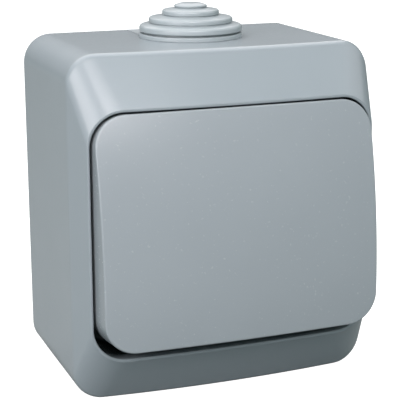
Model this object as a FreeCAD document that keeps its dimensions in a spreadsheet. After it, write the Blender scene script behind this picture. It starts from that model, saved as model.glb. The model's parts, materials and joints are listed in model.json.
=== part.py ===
import FreeCAD, Part
import math
import os

import Sketcher

# Splash-proof one-gang rocker switch for surface mounting outdoors.
# Frame: the wall is the plane Y = 0 and the switch stands out from it towards -Y, +X is to the right seen from
# the front and +Z is up. The origin is the middle of the back face. Every "depth" is a distance forward of the
# wall, or forward of the pivot for a piece that turns.

Vector = FreeCAD.Vector
Placement = FreeCAD.Placement
Rotation = FreeCAD.Rotation

doc = FreeCAD.newDocument("weatherproof_switch")

# Driving dimensions in millimetres and degrees, by piece.
SIZES = (
    # Cover: a rounded box whose front narrows to the rim round the rocker.
    ("cover_width", 74.0),
    ("cover_height", 81.0),
    ("cover_corner", 6.9),
    ("cover_wall", 2.0),
    ("fold_ahead_of_pivot", 1.52),
    ("fold_bow", 2.46),
    ("fold_round", 2.0),
    ("rim_rise", 8.1),
    ("rim_bow", 1.4),
    ("rim_inset_side", 2.2),
    ("rim_inset_end", 11.35),
    ("rim_land", 0.65),
    ("rim_outer_round", 0.3),
    ("rim_inner_round", 0.37),
    ("opening_corner", 7.7),
    ("recess_wall", 1.6),
    ("floor_below_pivot", 2.48),
    ("floor_thickness", 2.0),
    ("ledge_width", 2.8),
    ("window_width", 39.0),
    ("window_height", 29.0),
    ("window_corner", 1.5),
    # Base box behind the cover, and its seal.
    ("base_gap", 0.4),
    ("base_wall", 2.0),
    ("base_floor", 2.5),
    ("seal_thickness", 1.2),
    ("fixing_inset_side", 16.6),
    ("fixing_inset_end", 8.1),
    ("fixing_slot_radius", 2.25),
    ("fixing_slot_length", 8.5),
    ("fixing_boss_radius", 4.5),
    ("fixing_boss_height", 1.5),
    # Cable entry in the top.
    ("entry_behind_seal", 13.2),
    ("entry_slot_radius", 10.6),
    ("entry_gap", 0.3),
    ("entry_bore_radius", 8.0),
    ("grommet_gap", 0.1),
    ("grommet_lip_reach", 1.2),
    ("grommet_lip_height", 1.5),
    ("grommet_bore_radius", 6.4),
    ("grommet_skin", 1.15),
    ("foot_height", 1.05),
    ("foot_groove_height", 0.5),
    ("foot_groove_cut", 1.1),
    ("tier_radius_foot", 12.4),
    ("tier_radius_low", 10.1),
    ("tier_radius_high", 6.85),
    ("tier_radius_tip", 3.95),
    ("tier_height_foot", 1.9),
    ("tier_height_low", 1.8),
    ("tier_height_high", 1.75),
    ("tier_height_tip", 1.1),
    ("tier_crown", 0.5),
    ("tier_round", 1.1),
    ("tip_round", 0.45),
    ("tier_undercut", 0.25),
    ("tier_undercut_height", 0.2),
    # Rocker and the carrier that it clips to, which turn on one axle.
    ("rocker_tilt", 7.12),
    ("rocker_gap_side", 0.65),
    ("rocker_gap_end", 1.88),
    ("rocker_corner", 7.3),
    ("rocker_wall", 2.2),
    ("rocker_edge_round", 0.5),
    ("skirt_depth", 4.0),
    ("face_depth", 17.25),
    ("face_radius_tall", 156.0),
    ("face_radius_wide", 357.0),
    ("clip_gap", 0.2),
    ("clip_half_width", 6.0),
    ("clip_thickness", 1.8),
    ("hook_reach", 1.0),
    ("hook_height", 0.7),
    ("rib_inset", 1.6),
    ("rib_thickness", 1.5),
    ("rib_half_height", 10.0),
    ("axle_radius", 1.25),
    ("axle_end_gap", 0.2),
    ("axle_press_gap", 0.02),
    ("axle_running_gap", 0.05),
    ("carrier_half_height", 12.0),
    ("carrier_plate_depth", 4.0),
    ("carrier_plate_thickness", 2.0),
    ("hub_radius", 3.2),
    ("web_half_width", 9.0),
    ("web_half_height", 3.0),
    ("sleeve_radius", 2.8),
    ("sleeve_bore_radius", 1.85),
    ("plunger_reach", 4.4),
    ("sleeve_bore_start", 3.0),
    # Plunger, spring and the contact lever that the plunger flips.
    ("plunger_radius", 1.75),
    ("plunger_length", 8.9),
    ("plunger_gap", 0.3),
    ("spring_wire_radius", 0.25),
    ("spring_coil_radius", 1.3),
    ("spring_pitch", 1.0),
    ("spring_length", 5.98),
    ("lever_tilt", 5.0),
    ("lever_half_width", 3.0),
    ("lever_half_thickness", 0.5),
    ("saddle_half_length", 4.5),
    ("saddle_height", 1.8),
    ("lever_pin_radius", 0.8),
    ("lever_pin_gap", 0.05),
    ("contact_inset", 6.0),
    ("contact_radius", 1.5),
    ("contact_height", 0.9),
    ("contact_gap", 0.08),
    ("fixed_contact_height", 0.71),
    # Mechanism body, lid and terminals.
    ("mech_wall", 1.5),
    ("mech_back_gap", 1.5),
    ("ear_depth", 20.0),
    ("ear_thickness", 2.5),
    ("ear_half_height", 4.5),
    ("ear_length", 10.0),
    ("ear_gap", 2.6),
    ("lid_overlap_side", 3.0),
    ("lid_overlap_end", 3.8),
    ("lid_thickness", 2.0),
    ("lid_corner", 1.5),
    ("window_seal_thickness", 1.5),
    ("window_gap", 0.5),
    ("lid_step_height", 2.4),
    ("post_thickness", 2.5),
    ("post_half_height", 4.0),
    ("post_gap", 0.3),
    ("post_reach", 2.5),
    ("post_window_gap", 0.6),
    ("slot_half_width", 4.2),
    ("slot_half_height", 5.2),
    ("tab_half_width", 4.0),
    ("tab_thickness", 1.6),
    ("tab_rim", 1.5),
    ("tab_gap", 0.2),
    ("tab_length", 8.5),
    ("lug_below_lid", 4.7),
    ("lug_height", 2.1),
    ("lug_reach", 1.1),
    ("terminal_gap", 1.0),
    ("terminal_half_size", 4.25),
    ("terminal_height", 8.4),
    ("terminal_strip", 1.2),
    ("terminal_ear_half_height", 2.2),
    ("terminal_ear_thickness", 1.4),
    ("wire_bore_radius", 1.6),
    ("wire_bore_rise", 4.0),
    ("wire_hole_gap", 0.4),
    # Screws.
    ("screw_gap", 0.05),
    ("pillar_radius", 3.5),
    ("cover_screw_inset_side", 6.6),
    ("cover_screw_inset_end", 16.1),
    ("cover_screw_radius", 1.45),
    ("cover_screw_length", 15.5),
    ("cover_screw_head_radius", 3.0),
    ("cover_screw_head_height", 2.0),
    ("cover_hole_gap", 0.35),
    ("washer_thickness", 0.8),
    ("washer_radius", 3.3),
    ("mech_screw_inset", 4.0),
    ("mech_screw_radius", 1.4),
    ("mech_screw_length", 11.0),
    ("mech_screw_head_radius", 2.5),
    ("mech_screw_head_height", 1.8),
    ("terminal_screw_radius", 1.45),
    ("terminal_screw_length", 5.2),
    ("terminal_screw_head_radius", 2.4),
    ("terminal_screw_head_height", 1.6),
    ("terminal_screw_rise", 0.8),
    ("access_hole_radius", 2.7),
    ("recess_slot_width", 0.9),
    ("recess_slot_depth", 1.1),
    ("head_round", 0.5),
    # Parking terminal for the earth conductor.
    ("earth_inset", 8.1),
    ("earth_half_size", 4.5),
    ("earth_height", 8.5),
    ("earth_bore_radius", 1.9),
)

BEYOND = 1.0  # how far a cutter runs past the face that it opens


def fill_sheet():
    """The sheet of driving dimensions, one row each: name, then value under that name."""
    table = doc.addObject("Spreadsheet::Sheet", "sizes")
    for row, (alias, number) in enumerate(SIZES, start=1):
        table.set(f"A{row}", alias)
        table.set(f"B{row}", str(number))
        table.setAlias(f"B{row}", alias)
    doc.recompute()
    return table


class Size:
    """A length or angle that knows its value and the expression over the sheet that gives it."""

    def __init__(self, value, text):
        self.value = value
        self.text = text

    def __add__(self, other):
        other = as_size(other)
        return Size(self.value + other.value, f"({self.text} + {other.text})")

    def __sub__(self, other):
        other = as_size(other)
        return Size(self.value - other.value, f"({self.text} - {other.text})")

    def __rsub__(self, other):
        return as_size(other) - self

    def __mul__(self, other):
        other = as_size(other)
        return Size(self.value * other.value, f"({self.text} * {other.text})")

    def __truediv__(self, other):
        other = as_size(other)
        return Size(self.value / other.value, f"({self.text} / {other.text})")

    def __neg__(self):
        return Size(-self.value, f"(0 - {self.text})")

    __radd__ = __add__
    __rmul__ = __mul__


def as_size(number):
    return number if isinstance(number, Size) else Size(float(number), repr(float(number)))


def cosine(angle):
    return Size(math.cos(math.radians(angle.value)), f"cos({angle.text} * 1 deg)")


def sine(angle):
    return Size(math.sin(math.radians(angle.value)), f"sin({angle.text} * 1 deg)")


class Sheet:
    """Gives each driving dimension as a Size under its own name."""

    def __init__(self, table):
        for alias, _ in SIZES:
            setattr(self, alias, Size(float(getattr(table, alias)), f"sizes.{alias}"))


s = Sheet(fill_sheet())


# Building blocks: each makes one document object whose sizes are bound to the sheet.


def bind(item, prop, size):
    item.setExpression(prop, as_size(size).text)


def block(name, x_range, depth_range, z_range):
    """A box between two values along X, forward of the wall, and along Z."""
    item = doc.addObject("Part::Box", name)
    bind(item, "Length", as_size(x_range[1]) - x_range[0])
    bind(item, "Width", as_size(depth_range[1]) - depth_range[0])
    bind(item, "Height", as_size(z_range[1]) - z_range[0])
    bind(item, "Placement.Base.x", x_range[0])
    bind(item, "Placement.Base.y", -as_size(depth_range[1]))
    bind(item, "Placement.Base.z", z_range[0])
    return item


ALONG_X = Rotation(Vector(0, 1, 0), 90)
FORWARD = Rotation(Vector(1, 0, 0), 90)


def rod_forward(name, radius, depth_range, x=0.0, z=0.0):
    """A cylinder that points forward, away from the wall."""
    item = doc.addObject("Part::Cylinder", name)
    item.Placement = Placement(Vector(), FORWARD)
    bind(item, "Radius", radius)
    bind(item, "Height", as_size(depth_range[1]) - depth_range[0])
    bind(item, "Placement.Base.x", x)
    bind(item, "Placement.Base.y", -as_size(depth_range[0]))
    bind(item, "Placement.Base.z", z)
    return item


def rod_across(name, radius, x_range, depth=0.0, z=0.0):
    """A cylinder along X."""
    item = doc.addObject("Part::Cylinder", name)
    item.Placement = Placement(Vector(), ALONG_X)
    bind(item, "Radius", radius)
    bind(item, "Height", as_size(x_range[1]) - x_range[0])
    bind(item, "Placement.Base.x", x_range[0])
    bind(item, "Placement.Base.y", -as_size(depth))
    bind(item, "Placement.Base.z", z)
    return item


def rod_upright(name, radius, z_range, x=0.0, depth=0.0):
    """A cylinder along Z."""
    item = doc.addObject("Part::Cylinder", name)
    bind(item, "Radius", radius)
    bind(item, "Height", as_size(z_range[1]) - z_range[0])
    bind(item, "Placement.Base.x", x)
    bind(item, "Placement.Base.y", -as_size(depth))
    bind(item, "Placement.Base.z", z_range[0])
    return item


def rounded_outline(name, half_width, half_height, corner):
    """A sketch of a rounded rectangle seen from the front, its middle on the origin."""
    sketch = doc.addObject("Sketcher::SketchObject", name)
    wide, tall, radius = half_width.value, half_height.value, corner.value
    inner_x, inner_z = wide - radius, tall - radius
    up = Vector(0, 0, 1)
    lines = (
        (Vector(-inner_x, -tall, 0), Vector(inner_x, -tall, 0)),
        (Vector(wide, -inner_z, 0), Vector(wide, inner_z, 0)),
        (Vector(inner_x, tall, 0), Vector(-inner_x, tall, 0)),
        (Vector(-wide, inner_z, 0), Vector(-wide, -inner_z, 0)),
    )
    centres = ((inner_x, -inner_z), (inner_x, inner_z), (-inner_x, inner_z), (-inner_x, -inner_z))
    for start, end in lines:
        sketch.addGeometry(Part.LineSegment(start, end))
    for quarter, (x, z) in enumerate(centres, start=-1):
        circle = Part.Circle(Vector(x, z, 0), up, radius)
        sketch.addGeometry(Part.ArcOfCircle(circle, quarter * math.pi / 2, (quarter + 1) * math.pi / 2))
    for side in range(4):
        arc = side + 4
        following = (side + 1) % 4
        sketch.addConstraint(Sketcher.Constraint("Tangent", side, 2, arc, 1))
        sketch.addConstraint(Sketcher.Constraint("Tangent", arc, 2, following, 1))
        sketch.addConstraint(Sketcher.Constraint("Horizontal" if side % 2 == 0 else "Vertical", side))
    for arc in (5, 6, 7):
        sketch.addConstraint(Sketcher.Constraint("Equal", 4, arc))
    dimensions = (
        ("right", Sketcher.Constraint("DistanceX", -1, 1, 1, 1, wide), half_width),
        ("left", Sketcher.Constraint("DistanceX", 3, 1, -1, 1, wide), half_width),
        ("above", Sketcher.Constraint("DistanceY", -1, 1, 2, 1, tall), half_height),
        ("below", Sketcher.Constraint("DistanceY", 0, 1, -1, 1, tall), half_height),
        ("corner", Sketcher.Constraint("Radius", 4, radius), corner),
    )
    for label, constraint, size in dimensions:
        sketch.renameConstraint(sketch.addConstraint(constraint), label)
        bind(sketch, f"Constraints.{label}", size)
    return sketch


def slab(name, half_width, half_height, corner, depth_range):
    """A rounded rectangle extruded forward between two depths."""
    sketch = rounded_outline(name + "_outline", half_width, half_height, corner)
    sketch.Placement = Placement(Vector(), FORWARD)
    bind(sketch, "Placement.Base.y", -as_size(depth_range[0]))
    item = doc.addObject("Part::Extrusion", name)
    item.Base = sketch
    item.DirMode = "Custom"
    item.Dir = Vector(0, -1, 0)
    item.Solid = True
    bind(item, "LengthFwd", as_size(depth_range[1]) - depth_range[0])
    return item


def turned(name, points):
    """A solid of revolution about Z from the corners of its half section, given as radius and height."""
    sketch = doc.addObject("Sketcher::SketchObject", name + "_section")
    sketch.Placement = Placement(Vector(), FORWARD)
    count = len(points)
    corners = [Vector(as_size(radius).value, as_size(height).value, 0) for radius, height in points]
    for index in range(count):
        sketch.addGeometry(Part.LineSegment(corners[index], corners[(index + 1) % count]))
    for index in range(count):
        sketch.addConstraint(Sketcher.Constraint("Coincident", index, 2, (index + 1) % count, 1))
    for index, (radius, height) in enumerate(points):
        across = Sketcher.Constraint("DistanceX", -1, 1, index, 1, corners[index].x)
        above = Sketcher.Constraint("DistanceY", -1, 1, index, 1, corners[index].y)
        sketch.renameConstraint(sketch.addConstraint(across), f"radius_{index}")
        sketch.renameConstraint(sketch.addConstraint(above), f"height_{index}")
        bind(sketch, f"Constraints.radius_{index}", radius)
        bind(sketch, f"Constraints.height_{index}", height)
    item = doc.addObject("Part::Revolution", name)
    item.Source = sketch
    item.Axis = Vector(0, 0, 1)
    item.Base = Vector(0, 0, 0)
    item.Angle = 360
    item.Solid = True
    return item


def joined(name, *parts):
    item = doc.addObject("Part::MultiFuse", name)
    item.Shapes = list(parts)
    item.Refine = True
    return item


def less(name, body, *cutters):
    """The body with every cutter taken away."""
    tool = cutters[0] if len(cutters) == 1 else joined(name + "_cutters", *cutters)
    item = doc.addObject("Part::Cut", name)
    item.Base = body
    item.Tool = tool
    item.Refine = True
    return item


def shared(name, first, second):
    item = doc.addObject("Part::Common", name)
    item.Base = first
    item.Tool = second
    return item


def rounded(name, body, radius, chosen):
    """The body with a fillet on each edge that the test picks."""
    doc.recompute()
    item = doc.addObject("Part::Fillet", name)
    item.Base = body
    picked = [number for number, edge in enumerate(body.Shape.Edges, start=1) if chosen(edge)]
    item.Edges = [(number, radius, radius) for number in picked]
    return item


def is_circle(edge, radius, z):
    """True for a full circle about the Z axis with this radius at this height."""
    curve = edge.Curve
    if not isinstance(curve, Part.Circle) or not edge.Closed:
        return False
    return abs(curve.Radius - radius.value) < NEAR and abs(curve.Center.z - as_size(z).value) < NEAR


NEAR = 1e-3

pieces = {}


def keep(node, item):
    """Names a finished sub-part."""
    item.Label = node
    pieces[node] = item
    return item


def hinge_at(item, depth, tilt, axis):
    """Carries a piece from its own frame to its pivot, turned about X by its tilt at rest."""
    item.Placement = Placement(Vector(), Rotation(axis, tilt.value))
    bind(item, "Placement.Base.y", -depth)
    bind(item, "Placement.Rotation.Angle", tilt)
    return item


# Half sizes that several pieces share.

half_width = s.cover_width / 2
half_height = s.cover_height / 2
inner_half_width = half_width - s.cover_wall
inner_half_height = half_height - s.cover_wall
rim_half_width = half_width - s.rim_inset_side
rim_half_height = half_height - s.rim_inset_end
open_half_width = rim_half_width - s.rim_land
open_half_height = rim_half_height - s.rim_land
base_half_width = inner_half_width - s.base_gap
base_half_height = inner_half_height - s.base_gap
base_corner = s.cover_corner - s.cover_wall - s.base_gap
base_inner_half_width = base_half_width - s.base_wall
base_inner_half_height = base_half_height - s.base_wall
lid_half_width = s.window_width / 2 + s.lid_overlap_side
lid_half_height = s.window_height / 2 + s.lid_overlap_end
ear_reach = base_inner_half_width - s.ear_gap
mech_half_width = ear_reach - s.ear_length
mech_half_height = lid_half_height - s.tab_thickness - s.tab_gap
terminal_middle = mech_half_width - s.mech_wall - s.terminal_gap - s.terminal_half_size
terminal_inner = terminal_middle - s.terminal_half_size
contact_offset = mech_half_height - s.mech_wall - s.contact_inset
post_outer = s.window_width / 2 - s.post_window_gap
post_inner = post_outer - s.post_thickness
carrier_half_width = post_inner - s.post_gap
fixing_x = base_half_width - s.fixing_inset_side
fixing_z = base_half_height - s.fixing_inset_end
cover_screw_x = base_half_width - s.cover_screw_inset_side
cover_screw_z = base_half_height - s.cover_screw_inset_end
cover_screw_places = (("left", -cover_screw_x, cover_screw_z), ("right", cover_screw_x, -cover_screw_z))
mech_screw_places = (("left", -ear_reach + s.mech_screw_inset), ("right", ear_reach - s.mech_screw_inset))
terminal_places = (
    ("common", -terminal_middle, as_size(0.0)),
    ("upper", terminal_middle, contact_offset),
    ("lower", terminal_middle, -contact_offset),
)
lever_half_length = contact_offset + s.contact_radius

# Depths, stacked forward from the wall: mechanism, terminals, contacts, lever, plunger, spring, pivot, front.

mech_back = s.base_floor + s.mech_back_gap
mech_floor = mech_back + s.mech_wall
wire_bore_depth = mech_floor + s.wire_bore_rise
terminal_front = mech_floor + s.terminal_height
fixed_contact_front = terminal_front + s.fixed_contact_height
lever_reach = s.lever_half_thickness + s.contact_height
closed_drop = lever_reach * cosine(s.lever_tilt) + lever_half_length * sine(s.lever_tilt)
lever_depth = fixed_contact_front + s.contact_gap + closed_drop
plunger_back = s.sleeve_bore_start + s.spring_wire_radius * 2 + s.spring_length
plunger_tip = plunger_back + s.plunger_length
plunger_ball = plunger_tip - s.plunger_radius
sleeve_length = plunger_tip - s.plunger_reach
pivot_depth = lever_depth + s.saddle_height + s.plunger_gap + plunger_tip
fold_depth = pivot_depth + s.fold_ahead_of_pivot
rim_depth = fold_depth + s.rim_rise
floor_depth = pivot_depth - s.floor_below_pivot
floor_back = floor_depth - s.floor_thickness
base_front = floor_back - s.seal_thickness
entry_depth = base_front - s.entry_behind_seal
lid_front = floor_back - s.window_seal_thickness
lid_back = lid_front - s.lid_thickness
step_front = lid_front + s.lid_step_height
lug_depth = lid_back - s.lug_below_lid - s.lug_height


# Cover. Its front is bowed, so its outer form and its cavity are made as surfaces between curved outlines.


def front_prism(wide, tall, radius, depth_from, depth_to):
    """A rounded rectangle extruded forward, as a bare shape."""
    step = radius * math.sqrt(0.5)
    wide_in, tall_in = wide - radius, tall - radius

    def at(x, z):
        return Vector(x, -depth_from, z)

    outline = (
        Part.LineSegment(at(-wide_in, -tall), at(wide_in, -tall)),
        Part.Arc(at(wide_in, -tall), at(wide_in + step, -tall_in - step), at(wide, -tall_in)),
        Part.LineSegment(at(wide, -tall_in), at(wide, tall_in)),
        Part.Arc(at(wide, tall_in), at(wide_in + step, tall_in + step), at(wide_in, tall)),
        Part.LineSegment(at(wide_in, tall), at(-wide_in, tall)),
        Part.Arc(at(-wide_in, tall), at(-wide_in - step, tall_in + step), at(-wide, tall_in)),
        Part.LineSegment(at(-wide, tall_in), at(-wide, -tall_in)),
        Part.Arc(at(-wide, -tall_in), at(-wide_in - step, -tall_in - step), at(-wide_in, -tall)),
    )
    face = Part.Face(Part.Wire([curve.toShape() for curve in outline]))
    return face.extrude(Vector(0, depth_from - depth_to, 0))


def bowed_sheet(wide, tall, depth, bow):
    """An upright sheet at a depth, bent forward in its middle by the bow over the given half width."""
    margin = 1.3
    radius = (wide**2 + bow**2) / (2 * bow)
    spread = math.asin(margin * wide / radius)
    circle = Part.Circle(Vector(0, radius - depth - bow, -margin * tall), Vector(0, 0, 1), radius)
    arc = Part.ArcOfCircle(circle, -math.pi / 2 - spread, -math.pi / 2 + spread)
    return arc.toShape().extrude(Vector(0, 0, 2 * margin * tall))


def bowed_outline(wide, tall, radius, depth, bow):
    """The face cut from a bowed sheet by a rounded rectangle, seen from the front."""
    prism = front_prism(wide, tall, radius, 0, depth + 2 * bow)
    return prism.common(bowed_sheet(wide, tall, depth, bow)).Faces[0]


def hood(back, fold, rim):
    """A prism from the back to a bowed fold, then straight lines in to a smaller bowed rim.

    fold and rim are half width, half height, corner radius, depth and bow."""
    wide, tall, radius, depth, bow = fold
    prism = front_prism(wide, tall, radius, back, rim[3] + 2 * rim[4])
    ahead = bowed_sheet(wide, tall, depth, bow).extrude(Vector(0, -2 * rim[3], 0))
    fold_face = bowed_outline(*fold)
    rim_face = bowed_outline(*rim)
    sides = Part.makeLoft([fold_face.OuterWire, rim_face.OuterWire], False, True)
    shell = Part.makeShell(sides.Faces + [fold_face, rim_face])
    shell.sewShape()
    narrowing = Part.makeSolid(shell)
    if narrowing.Volume < 0:
        narrowing.reverse()
    return prism.cut(ahead).fuse(narrowing).removeSplitter()


def lies_on(edge, wire):
    """True where an edge's ends and middle are on the wire."""
    first, last = edge.FirstParameter, edge.LastParameter
    spots = [edge.valueAt(first + share * (last - first)) for share in (0.0, 0.5, 1.0)]
    return all(Part.Vertex(spot).distToShape(wire)[0] < NEAR for spot in spots)


def soften(shape, radius, wire):
    """The shape with a fillet on each edge along the wire."""
    return shape.makeFillet(radius, [edge for edge in shape.Edges if lies_on(edge, wire)])


LIP_SHARE = 0.65  # most of the land's width that the round at its inner edge may take


def limited(radius, wall):
    """A fillet's radius, or as much of it as the wall beside it has room for."""
    return min(radius.value, wall.value)


def cover_shape():
    """The hood with its wall thickness, the recess for the rocker, and the hollows above and below it."""
    wall = s.cover_wall.value
    rim_wide = rim_half_width.value
    rim_tall = rim_half_height.value
    rim_corner = (s.opening_corner + s.rim_land).value
    fold = (half_width.value, half_height.value, s.cover_corner.value, fold_depth.value, s.fold_bow.value)
    rim = (rim_wide, rim_tall, rim_corner, rim_depth.value, s.rim_bow.value)
    outer = hood(0.0, fold, rim)
    outer = soften(outer, s.fold_round.value, bowed_outline(*fold).OuterWire)
    outer = soften(outer, s.rim_outer_round.value, bowed_outline(*rim).OuterWire)

    # The slope's steepness says how far back the same slope lies one wall thickness further in.
    rise = rim_depth.value + s.rim_bow.value - fold_depth.value - s.fold_bow.value
    slope = rise / (half_height.value - rim_tall)
    set_back = wall * math.sqrt(1 + slope**2)
    inner_fold = (
        inner_half_width.value,
        inner_half_height.value,
        s.cover_corner.value - wall,
        fold_depth.value - set_back + wall * slope,
        s.fold_bow.value,
    )
    inner_rim = (rim_wide - wall, rim_tall, rim_corner - wall, rim_depth.value - set_back, s.rim_bow.value)
    cavity = hood(-BEYOND, inner_fold, inner_rim)
    recess_wall = s.recess_wall.value
    far = rim_depth.value + 2 * s.rim_bow.value + BEYOND
    recess = front_prism(
        open_half_width.value + recess_wall,
        open_half_height.value + recess_wall,
        s.opening_corner.value + recess_wall,
        floor_back.value,
        far,
    )
    ledge_width = s.ledge_width.value
    ledge_depths = (floor_back.value, floor_depth.value)
    ledge_outer = front_prism(half_width.value, half_height.value, s.cover_corner.value, *ledge_depths)
    ledge_inner = front_prism(
        inner_half_width.value - ledge_width,
        inner_half_height.value - ledge_width,
        s.cover_corner.value - wall,
        *ledge_depths,
    )
    cavity = cavity.cut(recess).cut(ledge_outer.cut(ledge_inner))
    opening = (open_half_width.value, open_half_height.value, s.opening_corner.value)
    shape = outer.cut(cavity).cut(front_prism(*opening, floor_depth.value, far))
    lip = bowed_sheet(rim_wide, rim_tall, rim_depth.value, s.rim_bow.value)
    lip_line = front_prism(*opening, 0, far).common(lip).Faces[0].OuterWire
    return soften(shape, limited(s.rim_inner_round, s.rim_land * LIP_SHARE), lip_line)


def make_cover():
    shell = doc.addObject("Part::Feature", "cover_shell")
    shell.Shape = cover_shape()
    window = slab(
        "cover_window",
        s.window_width / 2,
        s.window_height / 2,
        s.window_corner,
        (floor_back - BEYOND, floor_depth + BEYOND),
    )
    slot_span = (inner_half_height - BEYOND, half_height + BEYOND)
    slot_end = rod_upright("cover_slot_end", s.entry_slot_radius, slot_span, 0.0, entry_depth)
    slot_sides = (-s.entry_slot_radius, s.entry_slot_radius)
    slot = block("cover_slot", slot_sides, (-BEYOND, entry_depth), slot_span)
    holes = [
        rod_forward(
            f"cover_hole_{side}",
            s.cover_screw_radius + s.cover_hole_gap,
            (floor_back - BEYOND, floor_depth + BEYOND),
            x,
            z,
        )
        for side, x, z in cover_screw_places
    ]
    keep("cover", less("cover_body", shell, window, slot_end, slot, *holes))


# Base box with its pillars, fixing holes and the tongue that fills the cover's slot round the cable entry.


def oblong(name, radius, half_run, depth_range, x, z):
    """The solids of an upright round-ended plate that runs along X: a rod at each end and a block between."""
    return [
        rod_forward(name + "_start", radius, depth_range, x - half_run, z),
        rod_forward(name + "_end", radius, depth_range, x + half_run, z),
        block(name + "_middle", (x - half_run, x + half_run), depth_range, (z - radius, z + radius)),
    ]


def make_base():
    box = slab("base_box", base_half_width, base_half_height, base_corner, (0.0, base_front))
    hollow = slab(
        "base_hollow",
        base_inner_half_width,
        base_inner_half_height,
        base_corner - s.base_wall,
        (s.base_floor, base_front + BEYOND),
    )
    tongue_radius = s.entry_slot_radius - s.entry_gap
    tongue_span = (base_inner_half_height, half_height)
    solids = [less("base_tray", box, hollow)]
    solids.append(rod_upright("tongue_end", tongue_radius, tongue_span, 0.0, entry_depth))
    solids.append(block("tongue", (-tongue_radius, tongue_radius), (0.0, entry_depth), tongue_span))
    cutters = [
        rod_upright(
            "entry_bore",
            s.entry_bore_radius,
            (base_inner_half_height - BEYOND, half_height + BEYOND),
            0.0,
            entry_depth,
        )
    ]
    boss_top = s.base_floor + s.fixing_boss_height
    half_run = s.fixing_slot_length / 2 - s.fixing_slot_radius
    for column, x in (("left", -fixing_x), ("right", fixing_x)):
        for row, z in (("low", -fixing_z), ("high", fixing_z)):
            place = f"{row}_{column}"
            solids += oblong(f"fixing_boss_{place}", s.fixing_boss_radius, half_run, (0.0, boss_top), x, z)
            span = (-BEYOND, boss_top + BEYOND)
            cutters += oblong(f"fixing_slot_{place}", s.fixing_slot_radius, half_run, span, x, z)
    for side, x, z in cover_screw_places:
        solids.append(rod_forward(f"cover_pillar_{side}", s.pillar_radius, (0.0, floor_back), x, z))
        reach = (floor_back - s.cover_screw_length, floor_back + BEYOND)
        radius = s.cover_screw_radius + s.screw_gap
        cutters.append(rod_forward(f"cover_pillar_bore_{side}", radius, reach, x, z))
    for side, x in mech_screw_places:
        solids.append(rod_forward(f"mech_pillar_{side}", s.pillar_radius, (0.0, s.ear_depth), x))
        reach = (s.ear_depth - s.mech_screw_length, s.ear_depth + BEYOND)
        cutters.append(rod_forward(f"mech_pillar_bore_{side}", s.mech_screw_radius + s.screw_gap, reach, x))
    keep("base", less("base_body", joined("base_solids", *solids), *cutters))


def make_ring(node, outer, inner, depth_range):
    """A flat gasket between two rounded outlines."""
    past = (as_size(depth_range[0]) - BEYOND, as_size(depth_range[1]) + BEYOND)
    hole = slab(node + "_inner", *inner, past)
    keep(node, less(node + "_body", slab(node + "_outer", *outer, depth_range), hole))


def make_seals():
    outer = (base_half_width, base_half_height, base_corner)
    inner = (base_inner_half_width, base_inner_half_height, base_corner - s.base_wall)
    make_ring("cover_seal", outer, inner, (base_front, floor_back))
    outer = (lid_half_width, lid_half_height, s.lid_corner)
    inner = (s.window_width / 2 + s.window_gap, s.window_height / 2 + s.window_gap, s.window_corner)
    make_ring("window_seal", outer, inner, (lid_front, floor_back))


# Cable entry membrane: a soft stepped dome, turned about its own axis and clipped in the base's tongue.


def make_grommet():
    through = half_height - base_half_height + s.base_wall
    neck = s.entry_bore_radius - s.grommet_gap
    lip = neck + s.grommet_lip_reach
    foot_top = s.foot_height + s.foot_groove_height
    low = foot_top + s.tier_height_foot
    high = low + s.tier_height_low
    tip = high + s.tier_height_high
    top = tip + s.tier_height_tip
    points = [
        (s.grommet_bore_radius, -through - s.grommet_lip_height),
        (lip, -through - s.grommet_lip_height),
        (lip, -through),
        (neck, -through),
        (neck, as_size(0.0)),
        (s.tier_radius_foot, as_size(0.0)),
        (s.tier_radius_foot, s.foot_height),
        (s.tier_radius_foot - s.foot_groove_cut, s.foot_height),
        (s.tier_radius_foot - s.foot_groove_cut, foot_top),
        (s.tier_radius_foot, foot_top),
        (s.tier_radius_foot, low - s.tier_crown),
    ]
    crowns = [(s.tier_radius_foot, low - s.tier_crown)]
    following = ((s.tier_radius_low, low, high), (s.tier_radius_high, high, tip), (s.tier_radius_tip, tip, top))
    for radius, start, end in following:
        crown = s.tier_crown
        points.append((radius - s.tier_undercut, start))
        points.append((radius - s.tier_undercut, start + s.tier_undercut_height))
        points.append((radius, start + s.tier_undercut_height))
        points.append((radius, end - crown))
        crowns.append((radius, end - crown))
    inside_tip = s.tier_radius_tip - s.grommet_skin
    inside_high = s.tier_radius_high - s.grommet_skin
    points += [
        (as_size(0.0), top),
        (as_size(0.0), top - s.grommet_skin),
        (inside_tip, top - s.grommet_skin),
        (inside_tip, tip - s.grommet_skin),
        (inside_high, tip - s.grommet_skin),
        (inside_high, high - s.grommet_skin),
        (s.grommet_bore_radius, high - s.grommet_skin),
    ]
    dome = turned("grommet_turned", points)
    walls = (s.tier_height_foot, s.tier_height_low, s.tier_height_high, s.tier_height_tip)
    rounds = (s.tier_round, s.tier_round, s.tier_round, s.tip_round)
    for (radius, z), wall, size in zip(crowns, walls, rounds):
        size = limited(size, wall - s.tier_crown - s.tier_undercut_height)
        dome = rounded("grommet_round", dome, size, lambda edge: is_circle(edge, radius, z))
    bind(dome, "Placement.Base.y", -entry_depth)
    bind(dome, "Placement.Base.z", half_height)
    keep("entry_grommet", dome)


# Screws and washers.


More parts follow.
